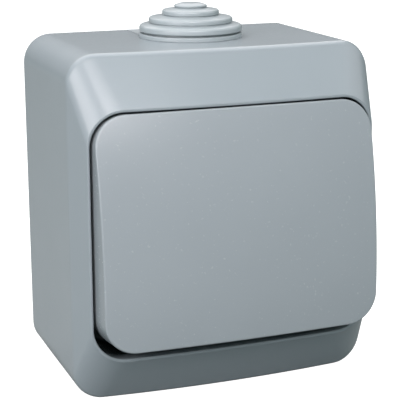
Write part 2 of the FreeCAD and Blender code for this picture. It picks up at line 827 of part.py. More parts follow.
def make_screw(node, head, shank, seat_depth, x=0.0, z=0.0, turn=0.0):
    """A slotted screw that points at the wall. head is radius and height, shank is radius and length."""
    head_top = as_size(seat_depth) + head[1]
    head_rod = rod_forward(node + "_head", head[0], (seat_depth, head_top), x, z)

    def on_front(edge):
        curve = edge.Curve
        return isinstance(curve, Part.Circle) and abs(curve.Center.y + head_top.value) < NEAR

    dome = rounded(node + "_dome", head_rod, s.head_round.value, on_front)
    shank_rod = rod_forward(node + "_shank", shank[0], (as_size(seat_depth) - shank[1], seat_depth), x, z)
    slot = doc.addObject("Part::Box", node + "_slot")
    bind(slot, "Length", head[0] * 4)
    bind(slot, "Width", s.recess_slot_depth * 2)
    bind(slot, "Height", s.recess_slot_width)
    # The slot is turned about the screw's own axis.
    middle = Vector(as_size(x).value, -head_top.value, as_size(z).value)
    angle = Rotation(Vector(0, 1, 0), turn)
    corner = Vector(-2 * head[0].value, -s.recess_slot_depth.value, -s.recess_slot_width.value / 2)
    slot.Placement = Placement(middle + angle.multVec(corner), angle)
    keep(node, less(node + "_body", joined(node + "_solid", dome, shank_rod), slot))


def make_fasteners():
    for (side, x, z), turn in zip(cover_screw_places, (35.0, -20.0)):
        washer_front = floor_depth + s.washer_thickness
        hole = s.cover_screw_radius + s.screw_gap
        disc = rod_forward(f"washer_disc_{side}", s.washer_radius, (floor_depth, washer_front), x, z)
        span = (floor_depth - BEYOND, washer_front + BEYOND)
        bore = rod_forward(f"washer_bore_{side}", hole, span, x, z)
        keep(f"cover_screw_seal_{side}", less(f"washer_{side}", disc, bore))
        head = (s.cover_screw_head_radius, s.cover_screw_head_height)
        shank = (s.cover_screw_radius, s.cover_screw_length)
        make_screw(f"cover_screw_{side}", head, shank, washer_front, x, z, turn)
    for (side, x), turn in zip(mech_screw_places, (10.0, 60.0)):
        head = (s.mech_screw_head_radius, s.mech_screw_head_height)
        shank = (s.mech_screw_radius, s.mech_screw_length)
        make_screw(f"mechanism_screw_{side}", head, shank, s.ear_depth + s.ear_thickness, x, 0.0, turn)


# Mechanism body and lid.


def make_mechanism_body():
    wide, tall = mech_half_width, mech_half_height
    box = block("mech_box", (-wide, wide), (mech_back, lid_back), (-tall, tall))
    ear_span = (s.ear_depth, s.ear_depth + s.ear_thickness)
    ears = block("mech_ears", (-ear_reach, ear_reach), ear_span, (-s.ear_half_height, s.ear_half_height))
    lug_depths = (lug_depth, lug_depth + s.lug_height)
    lug_half_width = s.tab_half_width - s.tab_rim - s.tab_gap
    lug_reach = tall + s.lug_reach
    lugs = block("mech_lugs", (-lug_half_width, lug_half_width), lug_depths, (-lug_reach, lug_reach))
    inside = block(
        "mech_inside",
        (-wide + s.mech_wall, wide - s.mech_wall),
        (mech_floor, lid_back + BEYOND),
        (-tall + s.mech_wall, tall - s.mech_wall),
    )
    cutters = [inside]
    for side, x in mech_screw_places:
        span = (s.ear_depth - BEYOND, s.ear_depth + s.ear_thickness + BEYOND)
        cutters.append(rod_forward(f"ear_hole_{side}", s.mech_screw_radius + s.cover_hole_gap, span, x))
    wire_radius = s.wire_bore_radius + s.wire_hole_gap
    for name, z in (("high", contact_offset), ("low", -contact_offset)):
        span = (wide - s.mech_wall - BEYOND, wide + BEYOND)
        cutters.append(rod_across(f"wire_hole_{name}", wire_radius, span, wire_bore_depth, z))
    span = (-wide - BEYOND, -wide + s.mech_wall + BEYOND)
    cutters.append(rod_across("wire_hole_common", wire_radius, span, wire_bore_depth, 0.0))
    keep("mechanism_body", less("mech_body", joined("mech_solids", box, ears, lugs), *cutters))


def make_mechanism_lid():
    step_wide = s.window_width / 2 - s.window_gap
    step_tall = s.window_height / 2 - s.window_gap
    post_front = pivot_depth + s.post_reach
    solids = [
        slab("lid_plate", lid_half_width, lid_half_height, s.lid_corner, (lid_back, lid_front)),
        slab("lid_step", step_wide, step_tall, s.window_corner, (lid_back, step_front)),
    ]
    post_tall = (-s.post_half_height, s.post_half_height)
    post_depths = (lid_front, post_front)
    tab_inner = mech_half_height + s.tab_gap
    tab_depths = (lid_back - s.tab_length, lid_front)
    tab_wide = (-s.tab_half_width, s.tab_half_width)
    solids.append(block("post_left", (-post_outer, -post_inner), post_depths, post_tall))
    solids.append(block("post_right", (post_inner, post_outer), post_depths, post_tall))
    solids.append(block("tab_high", tab_wide, tab_depths, (tab_inner, lid_half_height)))
    solids.append(block("tab_low", tab_wide, tab_depths, (-lid_half_height, -tab_inner)))
    slot_wide = (-s.slot_half_width, s.slot_half_width)
    slot_tall = (-s.slot_half_height, s.slot_half_height)
    axle_span = (-post_outer - BEYOND, post_outer + BEYOND)
    window_half = s.tab_half_width - s.tab_rim
    window_depths = (lug_depth - s.tab_gap, lug_depth + s.lug_height + s.tab_gap)
    reach = lid_half_height + BEYOND
    cutters = [
        block("lid_slot", slot_wide, (lid_back - BEYOND, step_front + BEYOND), slot_tall),
        rod_across("lid_axle_hole", s.axle_radius + s.axle_press_gap, axle_span, pivot_depth),
        block("tab_window_high", (-window_half, window_half), window_depths, (mech_half_height, reach)),
        block("tab_window_low", (-window_half, window_half), window_depths, (-reach, -mech_half_height)),
    ]
    access_span = (lid_back - BEYOND, step_front + BEYOND)
    for name, x, z in terminal_places:
        cutters.append(rod_forward(f"access_hole_{name}", s.access_hole_radius, access_span, x, z))
    keep("mechanism_lid", less("lid_body", joined("lid_solids", *solids), *cutters))


# Terminals, fixed contacts, contact lever and its pin.


def terminal_block(name, x, z):
    half = s.terminal_half_size
    return block(name + "_block", (x - half, x + half), (mech_floor, terminal_front), (z - half, z + half))


def terminal_holes(name, x, z):
    half = s.terminal_half_size
    span = (x - half - BEYOND, x + half + BEYOND)
    wire = rod_across(name + "_wire_bore", s.wire_bore_radius, span, wire_bore_depth, z)
    screw_span = (wire_bore_depth, terminal_front + BEYOND)
    return wire, rod_forward(name + "_screw_bore", s.terminal_screw_radius + s.screw_gap, screw_span, x, z)


def make_terminals():
    ear_tall = (-s.terminal_ear_half_height, s.terminal_ear_half_height)
    ear_inner = s.lever_half_width + s.post_gap
    ear_outer = ear_inner + s.terminal_ear_thickness
    ear_front = lever_depth + s.terminal_ear_half_height
    strip_depths = (mech_floor, mech_floor + s.terminal_strip)
    name, x, z = terminal_places[0]
    solids = [
        terminal_block(name, x, z),
        block("common_strip", (-terminal_inner, ear_outer), strip_depths, ear_tall),
        block("common_ear_left", (-ear_outer, -ear_inner), (mech_floor, ear_front), ear_tall),
        block("common_ear_right", (ear_inner, ear_outer), (mech_floor, ear_front), ear_tall),
    ]
    pin_span = (-ear_outer - BEYOND, ear_outer + BEYOND)
    pin_hole = rod_across("common_pin_hole", s.lever_pin_radius + s.axle_press_gap, pin_span, lever_depth)
    holes = (*terminal_holes(name, x, z), pin_hole)
    keep("terminal_common", less("terminal_common_body", joined("terminal_common_solid", *solids), *holes))
    arm_depths = (terminal_front - s.terminal_strip, terminal_front)
    arm_half = s.terminal_ear_half_height
    for name, x, z in terminal_places[1:]:
        arm_tall = (z - arm_half, z + arm_half)
        arm = block(name + "_arm", (-s.lever_half_width, terminal_inner), arm_depths, arm_tall)
        solid = joined(f"terminal_{name}_solid", terminal_block(name, x, z), arm)
        keep(f"terminal_{name}", less(f"terminal_{name}_body", solid, *terminal_holes(name, x, z)))
        span = (terminal_front, fixed_contact_front)
        keep(f"fixed_contact_{name}", rod_forward(f"fixed_rivet_{name}", s.contact_radius, span, 0.0, z))
    head = (s.terminal_screw_head_radius, s.terminal_screw_head_height)
    shank = (s.terminal_screw_radius, s.terminal_screw_length)
    seat = terminal_front + s.terminal_screw_rise
    for (name, x, z), turn in zip(terminal_places, (20.0, -50.0, 75.0)):
        make_screw(f"terminal_screw_{name}", head, shank, seat, x, z, turn)
    pin_half = ear_outer
    keep("lever_pin", rod_across("lever_pin_rod", s.lever_pin_radius, (-pin_half, pin_half), lever_depth))


def make_lever():
    wide = (-s.lever_half_width, s.lever_half_width)
    thick = (-s.lever_half_thickness, s.lever_half_thickness)
    strip = block("lever_strip", wide, thick, (-lever_half_length, lever_half_length))
    saddle_depths = (-s.lever_pin_radius * 2, s.saddle_height)
    saddle = block("lever_saddle", wide, saddle_depths, (-s.saddle_half_length, s.saddle_half_length))
    span = (-s.lever_half_width - BEYOND, s.lever_half_width + BEYOND)
    bore = rod_across("lever_bore", s.lever_pin_radius + s.lever_pin_gap, span)
    lever = less("lever_body", joined("lever_solid", strip, saddle), bore)
    keep("contact_lever", hinge_at(lever, lever_depth, s.lever_tilt, Vector(1, 0, 0)))
    for name, z in (("upper", contact_offset), ("lower", -contact_offset)):
        rivet = doc.addObject("Part::Cylinder", f"moving_rivet_{name}")
        bind(rivet, "Radius", s.contact_radius)
        bind(rivet, "Height", s.contact_height)
        # The rivet stands on the lever's back face and turns with it.
        turn = Rotation(Vector(1, 0, 0), s.lever_tilt.value)
        back = Vector(0, s.lever_half_thickness.value, z.value)
        middle = Vector(0, -lever_depth.value, 0) + turn.multVec(back)
        rivet.Placement = Placement(middle, turn * Rotation(Vector(1, 0, 0), -90))
        keep(f"moving_contact_{name}", rivet)


def make_earth_terminal():
    half = s.earth_half_size
    x, z = as_size(0.0), -base_inner_half_height + s.earth_inset
    front = s.base_floor + s.earth_height
    body = block("earth_block", (x - half, x + half), (s.base_floor, front), (z - half, z + half))
    middle = s.base_floor + s.earth_height / 2 - s.terminal_screw_rise
    wire = rod_across("earth_wire_bore", s.earth_bore_radius, (x - half - BEYOND, x + half + BEYOND), middle, z)
    screw_radius = s.terminal_screw_radius + s.screw_gap
    screw = rod_forward("earth_screw_bore", screw_radius, (middle, front + BEYOND), x, z)
    keep("earth_terminal", less("earth_body", body, wire, screw))
    head = (s.terminal_screw_head_radius, s.terminal_screw_head_height)
    shank = (s.terminal_screw_radius, s.earth_height / 2)
    make_screw("earth_terminal_screw", head, shank, front + s.terminal_screw_rise, x, z, 40.0)


# Rocker, carrier, axle, plunger and spring. Each is made about the pivot, level, and then tilted as it rests.


def pillow(name, wall):
    """A ball-like solid of two radii whose front is the rocker's face, or the same one a wall further in."""
    item = doc.addObject("Part::Torus", name)
    bind(item, "Radius1", s.face_radius_wide - s.face_radius_tall)
    bind(item, "Radius2", s.face_radius_tall - wall)
    bind(item, "Placement.Base.y", s.face_radius_wide - s.face_depth)
    return item


def make_rocker():
    wide, tall = open_half_width - s.rocker_gap_side, open_half_height - s.rocker_gap_end
    wall = s.rocker_wall
    depths = (s.skirt_depth, s.face_depth + BEYOND)
    prism = slab("rocker_prism", wide, tall, s.rocker_corner, depths)
    outer = shared("rocker_outer", prism, pillow("rocker_face", 0.0))

    def on_face_edge(edge):
        return all(-vertex.Y > s.skirt_depth.value + NEAR for vertex in edge.Vertexes)

    outer = rounded("rocker_rounded", outer, s.rocker_edge_round.value, on_face_edge)
    inner_depths = (s.skirt_depth - BEYOND, s.face_depth + BEYOND)
    inner_prism = slab("rocker_inner_prism", wide - wall, tall - wall, s.rocker_corner - wall, inner_depths)
    shell = less("rocker_shell", outer, shared("rocker_hollow", inner_prism, pillow("rocker_inner_face", wall)))
    # The clips and ribs end inside the face's wall, so they follow its crown.
    solids = []
    ceiling = s.face_depth + BEYOND
    plate_back = s.carrier_plate_depth
    plate_front = plate_back + s.carrier_plate_thickness
    clip_inner = s.carrier_half_height + s.clip_gap
    clip_outer = clip_inner + s.clip_thickness
    hook_inner = clip_inner - s.hook_reach
    hook_front = plate_back - s.clip_gap
    clip_wide = (-s.clip_half_width, s.clip_half_width)
    leg_depths = (hook_front - s.hook_height, ceiling)
    hook_depths = (hook_front - s.hook_height, hook_front)
    solids.append(block("clip_high", clip_wide, leg_depths, (clip_inner, clip_outer)))
    solids.append(block("clip_low", clip_wide, leg_depths, (-clip_outer, -clip_inner)))
    solids.append(block("hook_high", clip_wide, hook_depths, (hook_inner, clip_inner)))
    solids.append(block("hook_low", clip_wide, hook_depths, (-clip_inner, -hook_inner)))
    rib_depths = (plate_front, ceiling)
    rib_outer = carrier_half_width - s.rib_inset
    rib_inner = rib_outer - s.rib_thickness
    rib_tall = (-s.rib_half_height, s.rib_half_height)
    solids.append(block("rib_left", (-rib_outer, -rib_inner), rib_depths, rib_tall))
    solids.append(block("rib_right", (rib_inner, rib_outer), rib_depths, rib_tall))
    inside = shared("rocker_inside", joined("rocker_fittings", *solids), pillow("rocker_middle_face", wall / 2))
    rocker = joined("rocker_body", shell, inside)
    keep("rocker", hinge_at(rocker, pivot_depth, s.rocker_tilt, Vector(-1, 0, 0)))


def make_carrier():
    wide, tall = carrier_half_width, s.carrier_half_height
    plate_back = s.carrier_plate_depth
    plate_depths = (plate_back, plate_back + s.carrier_plate_thickness)
    solids = [
        rod_across("carrier_hub", s.hub_radius, (-wide, wide)),
        block("carrier_plate", (-wide, wide), plate_depths, (-tall, tall)),
        block(
            "carrier_web",
            (-s.web_half_width, s.web_half_width),
            (s.axle_radius, plate_back),
            (-s.web_half_height, s.web_half_height),
        ),
        rod_forward("carrier_sleeve", s.sleeve_radius, (-sleeve_length, 0.0)),
    ]
    rib_tall = (-s.rib_half_height, s.rib_half_height)
    rib_depths = (s.axle_radius, plate_back)
    solids.append(block("carrier_rib_left", (-wide, -wide + s.carrier_plate_thickness), rib_depths, rib_tall))
    solids.append(block("carrier_rib_right", (wide - s.carrier_plate_thickness, wide), rib_depths, rib_tall))
    bore_span = (-wide - BEYOND, wide + BEYOND)
    axle_bore = rod_across("carrier_axle_bore", s.axle_radius + s.axle_running_gap, bore_span)
    sleeve_span = (-sleeve_length - BEYOND, -s.sleeve_bore_start)
    sleeve_bore = rod_forward("carrier_sleeve_bore", s.sleeve_bore_radius, sleeve_span)
    carrier = less("carrier_body", joined("carrier_solids", *solids), axle_bore, sleeve_bore)
    keep("rocker_carrier", hinge_at(carrier, pivot_depth, s.rocker_tilt, Vector(-1, 0, 0)))
    half = post_outer - s.axle_end_gap
    keep("rocker_axle", rod_across("axle_rod", s.axle_radius, (-half, half), pivot_depth))


def make_plunger():
    stem = rod_forward("plunger_stem", s.plunger_radius, (-plunger_ball, -plunger_back))
    ball = doc.addObject("Part::Sphere", "plunger_ball")
    bind(ball, "Radius", s.plunger_radius)
    bind(ball, "Placement.Base.y", plunger_ball)
    plunger = joined("plunger_body", stem, ball)
    keep("toggle_plunger", hinge_at(plunger, pivot_depth, s.rocker_tilt, Vector(-1, 0, 0)))


def make_spring():
    """A helix of wire along the sleeve, between the sleeve's end and the plunger."""
    helix = doc.addObject("Part::Helix", "spring_helix")
    bind(helix, "Radius", s.spring_coil_radius)
    bind(helix, "Height", s.spring_length)
    bind(helix, "Pitch", s.spring_pitch)
    wire = doc.addObject("Part::Circle", "spring_wire")
    wire.Placement = Placement(Vector(), FORWARD)
    bind(wire, "Radius", s.spring_wire_radius)
    bind(wire, "Placement.Base.x", s.spring_coil_radius)
    doc.recompute()
    sweep = doc.addObject("Part::Sweep", "spring_sweep")
    sweep.Sections = [wire]
    sweep.Spine = (helix, [f"Edge{number + 1}" for number in range(len(helix.Shape.Edges))])
    sweep.Solid = True
    sweep.Frenet = True
    # The helix climbs along Z, and the spring lies along the sleeve's axis.
    start = as_size(s.sleeve_bore_start + s.spring_wire_radius)
    tilt = Rotation(Vector(-1, 0, 0), s.rocker_tilt.value)
    lay_down = Rotation(Vector(1, 0, 0), -90)
    pivot = Vector(0, -pivot_depth.value, 0)
    sweep.Placement = Placement(pivot + tilt.multVec(Vector(0, start.value, 0)), tilt * lay_down)
    keep("toggle_spring", sweep)


def check_and_write():
    """Stops at any object that failed, and then writes each sub-part to its own file."""
    doc.recompute()
    for item in doc.Objects:
        bad = [state for state in item.State if state in ("Invalid", "Error")]
        if bad:
            raise RuntimeError(f"{item.Name} is {bad}")
    for node, item in pieces.items():
        shape = item.Shape
        if shape.isNull() or not shape.isValid() or not shape.Solids:
            raise RuntimeError(f"{node} has no valid solid")
    os.makedirs("parts", exist_ok=True)
    for node, item in pieces.items():
        item.Shape.exportStep(f"parts/{node}.step")
        box = item.Shape.BoundBox
        print(f"{node:26s} {len(item.Shape.Solids)} solid, {item.Shape.Volume:9.1f} mm3,", end=" ")
        print(f"{box.XLength:6.2f} x {box.YLength:6.2f} x {box.ZLength:6.2f} mm")


make_cover()
make_base()
make_seals()
make_grommet()
make_fasteners()
make_mechanism_body()
make_mechanism_lid()
make_terminals()
make_lever()
make_earth_terminal()
make_rocker()
make_carrier()
make_plunger()
make_spring()
check_and_write()
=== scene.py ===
import json
import math

import bmesh
import bpy
from mathutils import Matrix, Vector


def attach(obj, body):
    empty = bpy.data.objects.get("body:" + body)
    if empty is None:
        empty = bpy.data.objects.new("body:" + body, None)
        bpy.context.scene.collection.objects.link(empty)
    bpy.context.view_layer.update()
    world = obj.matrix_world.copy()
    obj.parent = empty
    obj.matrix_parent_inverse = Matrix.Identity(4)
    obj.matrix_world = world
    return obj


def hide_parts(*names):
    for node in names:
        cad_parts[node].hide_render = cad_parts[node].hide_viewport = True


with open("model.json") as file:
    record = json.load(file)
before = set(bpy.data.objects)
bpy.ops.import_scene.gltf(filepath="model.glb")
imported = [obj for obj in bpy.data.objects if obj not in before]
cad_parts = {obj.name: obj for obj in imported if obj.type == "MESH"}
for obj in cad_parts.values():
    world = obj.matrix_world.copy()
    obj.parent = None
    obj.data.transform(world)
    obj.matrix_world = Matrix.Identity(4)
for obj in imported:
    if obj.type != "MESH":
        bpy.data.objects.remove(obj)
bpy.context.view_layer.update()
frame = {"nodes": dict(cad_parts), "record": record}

# Light-grey outdoor rocker switch.
# Metres: X right, Y into the wall, Z up, origin in the middle of the back face.
# A depth is a distance forward of the wall, so Y is minus the depth. Lengths below are in millimetres.

MM = 0.001
NODES = frame["nodes"]

# The hood: half width, half height and corner radius of each outline, with its depth and forward bow.
BACK = dict(wide=37.0, tall=40.5, corner=6.9, depth=0.0, bow=0.0)
FOLD = dict(wide=37.0, tall=40.5, corner=6.9, depth=39.0, bow=2.46)
RIM = dict(wide=34.8, tall=29.15, corner=8.35, depth=47.1, bow=1.4)
MOUTH = dict(wide=34.15, tall=28.5, corner=7.7, depth=47.1, bow=1.4)
RECESS_FLOOR_DEPTH = 35.0
RECESS_BACK_DEPTH = 33.0
WINDOW = dict(wide=19.5, tall=14.5, corner=1.5)
INSIDE = dict(wide=35.0, tall=38.5, corner=4.9)
FOLD_ROUND = 2.0
RIM_OUTER_ROUND = 0.3
RIM_INNER_ROUND = 0.37
BACK_ROUND = 0.25
RECESS_FLOOR_ROUND = 0.8

# The cable entry: a slot in the hood's top wall, open at the back, and a membrane turned about its own axis.
ENTRY_DEPTH = 18.6
SLOT_RADIUS = 10.6
SLOT_STEPS = 24
CUT_MARGIN = 1.0
GROMMET_STEPS = 128
GROMMET_UNDER_HEIGHT = 4.0
GROMMET_TIP_SHARE = 0.02
# Radius, height above the hood's top face and corner rounding of each corner of the membrane's half section.
GROMMET_PROFILE = (
    (6.4, -5.9, 0.2), (9.1, -5.9, 0.4), (9.1, -4.4, 0.4), (7.9, -4.4, 0.1), (7.9, 0.0, 0.05),
    (12.4, 0.0, 0.12), (12.4, 1.05, 0.25), (11.3, 1.05, 0.1), (11.3, 1.55, 0.1),
    (12.4, 1.55, 0.2), (12.4, 2.95, 1.1), (9.85, 3.45, 0.12), (9.85, 3.65, 0.08),
    (10.1, 3.65, 0.12), (10.1, 4.75, 1.1), (6.6, 5.25, 0.12), (6.6, 5.45, 0.08),
    (6.85, 5.45, 0.12), (6.85, 6.5, 1.1), (3.7, 7.0, 0.12), (3.7, 7.2, 0.08),
    (3.95, 7.2, 0.12), (3.95, 7.6, 0.45), (2.4, 8.1, 0.8),
)

# The rocker, measured from its pivot.
PIVOT_DEPTH = 37.48
TILT = 7.12
ROCKER = dict(wide=33.5, tall=26.62, corner=7.3)
ROCKER_WALL = 2.2
SKIRT_DEPTH = 4.0
FACE_DEPTH = 17.25
FACE_RADIUS_TALL = 156.0
FACE_RADIUS_WIDE = 357.0
ROCKER_ROUND = 0.5
SKIRT_ROUND = 0.3
SMALLEST_CORNER = 0.5
# Sizes of the face's rings, as shares of its outline.
FACE_SHARES = (0.97, 0.93, 0.86, 0.76, 0.64, 0.5, 0.36, 0.22, 0.09)

CORNER_STEPS = 14
SIDE_STEPS_WIDE = 30
SIDE_STEPS_TALL = 20
ROUND_STEPS = 6
# The most of a straight run that the rounding at one of its ends may take.
ROUND_REACH_SHARE = 0.45

# Above these angles, in degrees, an edge stays crisp.
HOOD_CRISP_ANGLE = 30.0
ROCKER_CRISP_ANGLE = 35.0
GROMMET_CRISP_ANGLE = 50.0
FLAT_FACE_WEIGHT = 60


# Outlines: every rounded rectangle has the same number of points, so two of them join point by point.


def outline(wide, tall, corner):
    """Points (x, z) once round a rounded rectangle, anticlockwise from the lower left as seen in front."""
    points = []
    inner_x, inner_z = wide - corner, tall - corner
    sides = (
        ((-inner_x, -tall), (inner_x, -tall), (inner_x, -inner_z), -90, SIDE_STEPS_WIDE),
        ((wide, -inner_z), (wide, inner_z), (inner_x, inner_z), 0, SIDE_STEPS_TALL),
        ((inner_x, tall), (-inner_x, tall), (-inner_x, inner_z), 90, SIDE_STEPS_WIDE),
        ((-wide, inner_z), (-wide, -inner_z), (-inner_x, -inner_z), 180, SIDE_STEPS_TALL),
    )
    for start, end, centre, first_angle, steps in sides:
        for step in range(steps):
            share = step / steps
            points.append((start[0] + (end[0] - start[0]) * share, start[1] + (end[1] - start[1]) * share))
        for step in range(CORNER_STEPS):
            angle = math.radians(first_angle + 90 * step / CORNER_STEPS)
            points.append((centre[0] + corner * math.cos(angle), centre[1] + corner * math.sin(angle)))
    return points


def bow_depth(form, x):
    """Depth at x of an upright sheet that bows forward in its middle."""
    if not form["bow"]:
        return form["depth"]
    radius = (form["wide"] ** 2 + form["bow"] ** 2) / (2 * form["bow"])
    return form["depth"] + form["bow"] - radius + math.sqrt(radius**2 - x**2)


def ring(form):
    """Points (x, depth, z) of an outline on its bowed sheet."""
    flat = outline(form["wide"], form["tall"], form["corner"])
    return [Vector((x, bow_depth(form, x), z)) for x, z in flat]


def flat_ring(form, depth):
    """Points (x, depth, z) of an outline on a flat sheet."""
    return ring(dict(form, depth=depth, bow=0.0))


def rounded_corner(before, corner, after, radius):
    """Points of an arc that replaces a corner between two straight runs."""
    back_run, ahead_run = before - corner, after - corner
    back, ahead = back_run.normalized(), ahead_run.normalized()
    half_angle = back.angle(ahead) / 2
    most = ROUND_REACH_SHARE * min(back_run.length, ahead_run.length)
    reach = min(radius / math.tan(half_angle), most)
    middle = corner + (back + ahead).normalized() * (reach / math.cos(half_angle))
    start, end = corner + back * reach - middle, corner + ahead * reach - middle
    sweep = start.angle(end)
    points = []
    for step in range(ROUND_STEPS + 1):
        share = step / ROUND_STEPS
        spoke = start * math.sin((1 - share) * sweep) + end * math.sin(share * sweep)
        points.append(middle + spoke / math.sin(sweep))
    return points


def swept_rings(corners):
    """Rings along a profile. corners is a list of (ring, radius), closed from the last back to the first."""
    columns = []
    for index in range(len(corners[0][0])):
        column = []
        for place, (points, radius) in enumerate(corners):
            before = corners[place - 1][0][index]
            after = corners[(place + 1) % len(corners)][0][index]
            if radius:
                column += rounded_corner(before, points[index], after, radius)
            else:
                column.append(points[index].copy())
        columns.append(column)
    return [[column[place] for column in columns] for place in range(len(columns[0]))]


def to_row(point):
    """A point given as x, depth and z in millimetres, in the row frame in metres."""
    return Vector((point.x * MM, -point.y * MM, point.z * MM))


def mesh_from_rings(name, rings, closed=False, place=to_row, capped=False):
    """A mesh of quads between neighbouring rings. Capped ends are closed by a fan round their middle."""
    mesh = bmesh.new()
    made = [[mesh.verts.new(place(point)) for point in points] for points in rings]
    count = len(made[0])
    pairs = list(zip(made, made[1:]))
    if closed:
        pairs.append((made[-1], made[0]))
    for lower, upper in pairs:
        for index in range(count):
            following = (index + 1) % count
            mesh.faces.new((lower[index], lower[following], upper[following], upper[index]))
    if capped:
        for end in (made[0], made[-1]):
            hub = mesh.verts.new(sum((vertex.co for vertex in end), Vector()) / count)
            for index in range(count):
                mesh.faces.new((end[index], end[(index + 1) % count], hub))
    bmesh.ops.recalc_face_normals(mesh, faces=mesh.faces[:])
    data = bpy.data.meshes.new(name)
    mesh.to_mesh(data)
    mesh.free()
    piece = bpy.data.objects.new(name, data)
    bpy.context.scene.collection.objects.link(piece)
    return piece


def finish_shading(piece, crisp_angle):
    """Smooth faces with crisp edges above an angle, and normals that keep flats flat beside small rounds."""
    for polygon in piece.data.polygons:
        polygon.use_smooth = True
    piece.data.set_sharp_from_angle(angle=math.radians(crisp_angle))
    weighted = piece.modifiers.new("even_normals", "WEIGHTED_NORMAL")
    weighted.keep_sharp = True
    weighted.weight = FLAT_FACE_WEIGHT


def cut_away(piece, cutter):
    """Takes the cutter out of the piece, and removes it from the scene."""
    boolean = piece.modifiers.new("cut", "BOOLEAN")
    boolean.operation = "DIFFERENCE"
    boolean.solver = "EXACT"
    boolean.object = cutter
    graph = bpy.context.evaluated_depsgraph_get()
    data = bpy.data.meshes.new_from_object(piece.evaluated_get(graph))
    piece.modifiers.clear()
    piece.data = data
    bpy.data.objects.remove(cutter)


def prism(name, points, low, high):
    """An upright prism between two heights from points (x, depth)."""
    rings = [[Vector((x, depth, z)) for x, depth in points] for z in (low, high)]
    return mesh_from_rings(name, rings, capped=True)


# Hood


def build_hood():
    """The hood as one closed shell: outside, rim, recess with its window, and inside."""
    corners = [
        (ring(BACK), BACK_ROUND),
        (ring(FOLD), FOLD_ROUND),
        (ring(RIM), RIM_OUTER_ROUND),
        (ring(MOUTH), RIM_INNER_ROUND),
        (flat_ring(MOUTH, RECESS_FLOOR_DEPTH), RECESS_FLOOR_ROUND),
        (flat_ring(WINDOW, RECESS_FLOOR_DEPTH), 0),
        (flat_ring(WINDOW, RECESS_BACK_DEPTH), 0),
        (flat_ring(INSIDE, RECESS_BACK_DEPTH), 0),
        (flat_ring(INSIDE, 0.0), BACK_ROUND),
    ]
    hood = mesh_from_rings("hood_shell", swept_rings(corners), closed=True)
    arc = [math.radians(180 * step / SLOT_STEPS) for step in range(SLOT_STEPS + 1)]
    slot = [(SLOT_RADIUS * math.cos(angle), ENTRY_DEPTH + SLOT_RADIUS * math.sin(angle)) for angle in arc]
    slot += [(-SLOT_RADIUS, -CUT_MARGIN), (SLOT_RADIUS, -CUT_MARGIN)]
    cut_away(hood, prism("slot_cutter", slot, INSIDE["tall"] - CUT_MARGIN, BACK["tall"] + CUT_MARGIN))
    finish_shading(hood, HOOD_CRISP_ANGLE)
    return hood


# Rocker


def rocker_to_row(point):
    """A point measured from the pivot with the rocker level, tilted as it rests."""
    tilt = Matrix.Rotation(math.radians(-TILT), 3, "X")
    level = Vector((point.x, -point.y, point.z))
    return (tilt @ level + Vector((0, -PIVOT_DEPTH, 0))) * MM


def face_depth(x, z, inset):
    """Depth of the rocker's crowned face, or of a face that lies an inset behind it."""
    ring_radius = FACE_RADIUS_WIDE - FACE_RADIUS_TALL
    reach = ring_radius + math.sqrt((FACE_RADIUS_TALL - inset) ** 2 - z**2)
    return math.sqrt(reach**2 - x**2) - FACE_RADIUS_WIDE + FACE_DEPTH


def rocker_outline(inset, shrink=1.0):
    corner = max(ROCKER["corner"] - inset, SMALLEST_CORNER)
    flat = outline(ROCKER["wide"] - inset, ROCKER["tall"] - inset, corner)
    return [(x * shrink, z * shrink) for x, z in flat]


def skirt_ring(inset):
    """A rocker outline, level at the skirt's back edge."""
    return [Vector((x, SKIRT_DEPTH, z)) for x, z in rocker_outline(inset)]


def face_ring(inset, shrink=1.0):
    """A rocker outline laid on the crowned face, or on the face behind it for the inside."""
    return [Vector((x, face_depth(x, z, inset), z)) for x, z in rocker_outline(inset, shrink)]


def build_rocker():
    """The key: crowned face, straight skirt and hollow back."""
    inner_shares = reversed(FACE_SHARES[::3])
    corners = [(face_ring(ROCKER_WALL, share), 0) for share in inner_shares]
    corners += [
        (face_ring(ROCKER_WALL), 0),
        (skirt_ring(ROCKER_WALL), SKIRT_ROUND),
        (skirt_ring(0.0), SKIRT_ROUND),
        (face_ring(0.0), ROCKER_ROUND),
    ]
    corners += [(face_ring(0.0, share), 0) for share in FACE_SHARES]
    key = mesh_from_rings("rocker_key", swept_rings(corners), place=rocker_to_row, capped=True)
    finish_shading(key, ROCKER_CRISP_ANGLE)
    return key


# Cable entry


def build_grommet():
    """The stepped membrane, with a blind hollow below it."""
    corners = []
    for radius, height, rounding in GROMMET_PROFILE:
        points = []
        for step in range(GROMMET_STEPS):
            angle = math.tau * step / GROMMET_STEPS
            depth = ENTRY_DEPTH - radius * math.sin(angle)
            points.append(Vector((radius * math.cos(angle), depth, BACK["tall"] + height)))
        corners.append((points, rounding))
    first, last = corners[0][0], corners[-1][0]
    under = [Vector((p.x, p.y, BACK["tall"] + GROMMET_UNDER_HEIGHT)) for p in first]
    tip = []
    for point in last:
        depth = ENTRY_DEPTH + (point.y - ENTRY_DEPTH) * GROMMET_TIP_SHARE
        tip.append(Vector((point.x * GROMMET_TIP_SHARE, depth, point.z)))
    dome = mesh_from_rings("entry_membrane", swept_rings([(under, 0), *corners, (tip, 0)]), capped=True)
    finish_shading(dome, GROMMET_CRISP_ANGLE)
    return dome


# Materials: texture scales are per metre, and each spread is a share of the roughness either way.

CLOUD_SCALE = 55.0
CLOUD_DETAIL = 3.0
CLOUD_TONE = 0.03
GRAIN_DETAIL = 4.0
GRAIN_GLOSS_SPREAD = 0.15
GRAIN_RELIEF = 0.2 * MM
STREAK_SCALE = 1500.0
STREAK_STRETCH = (1.0, 1.0, 0.12)
STREAK_DETAIL = 3.0
STREAK_GLOSS_SPREAD = 0.3
STREAK_DARKENING = 0.92
STREAK_HEIGHT = 0.03
STREAK_RELIEF = 0.1 * MM

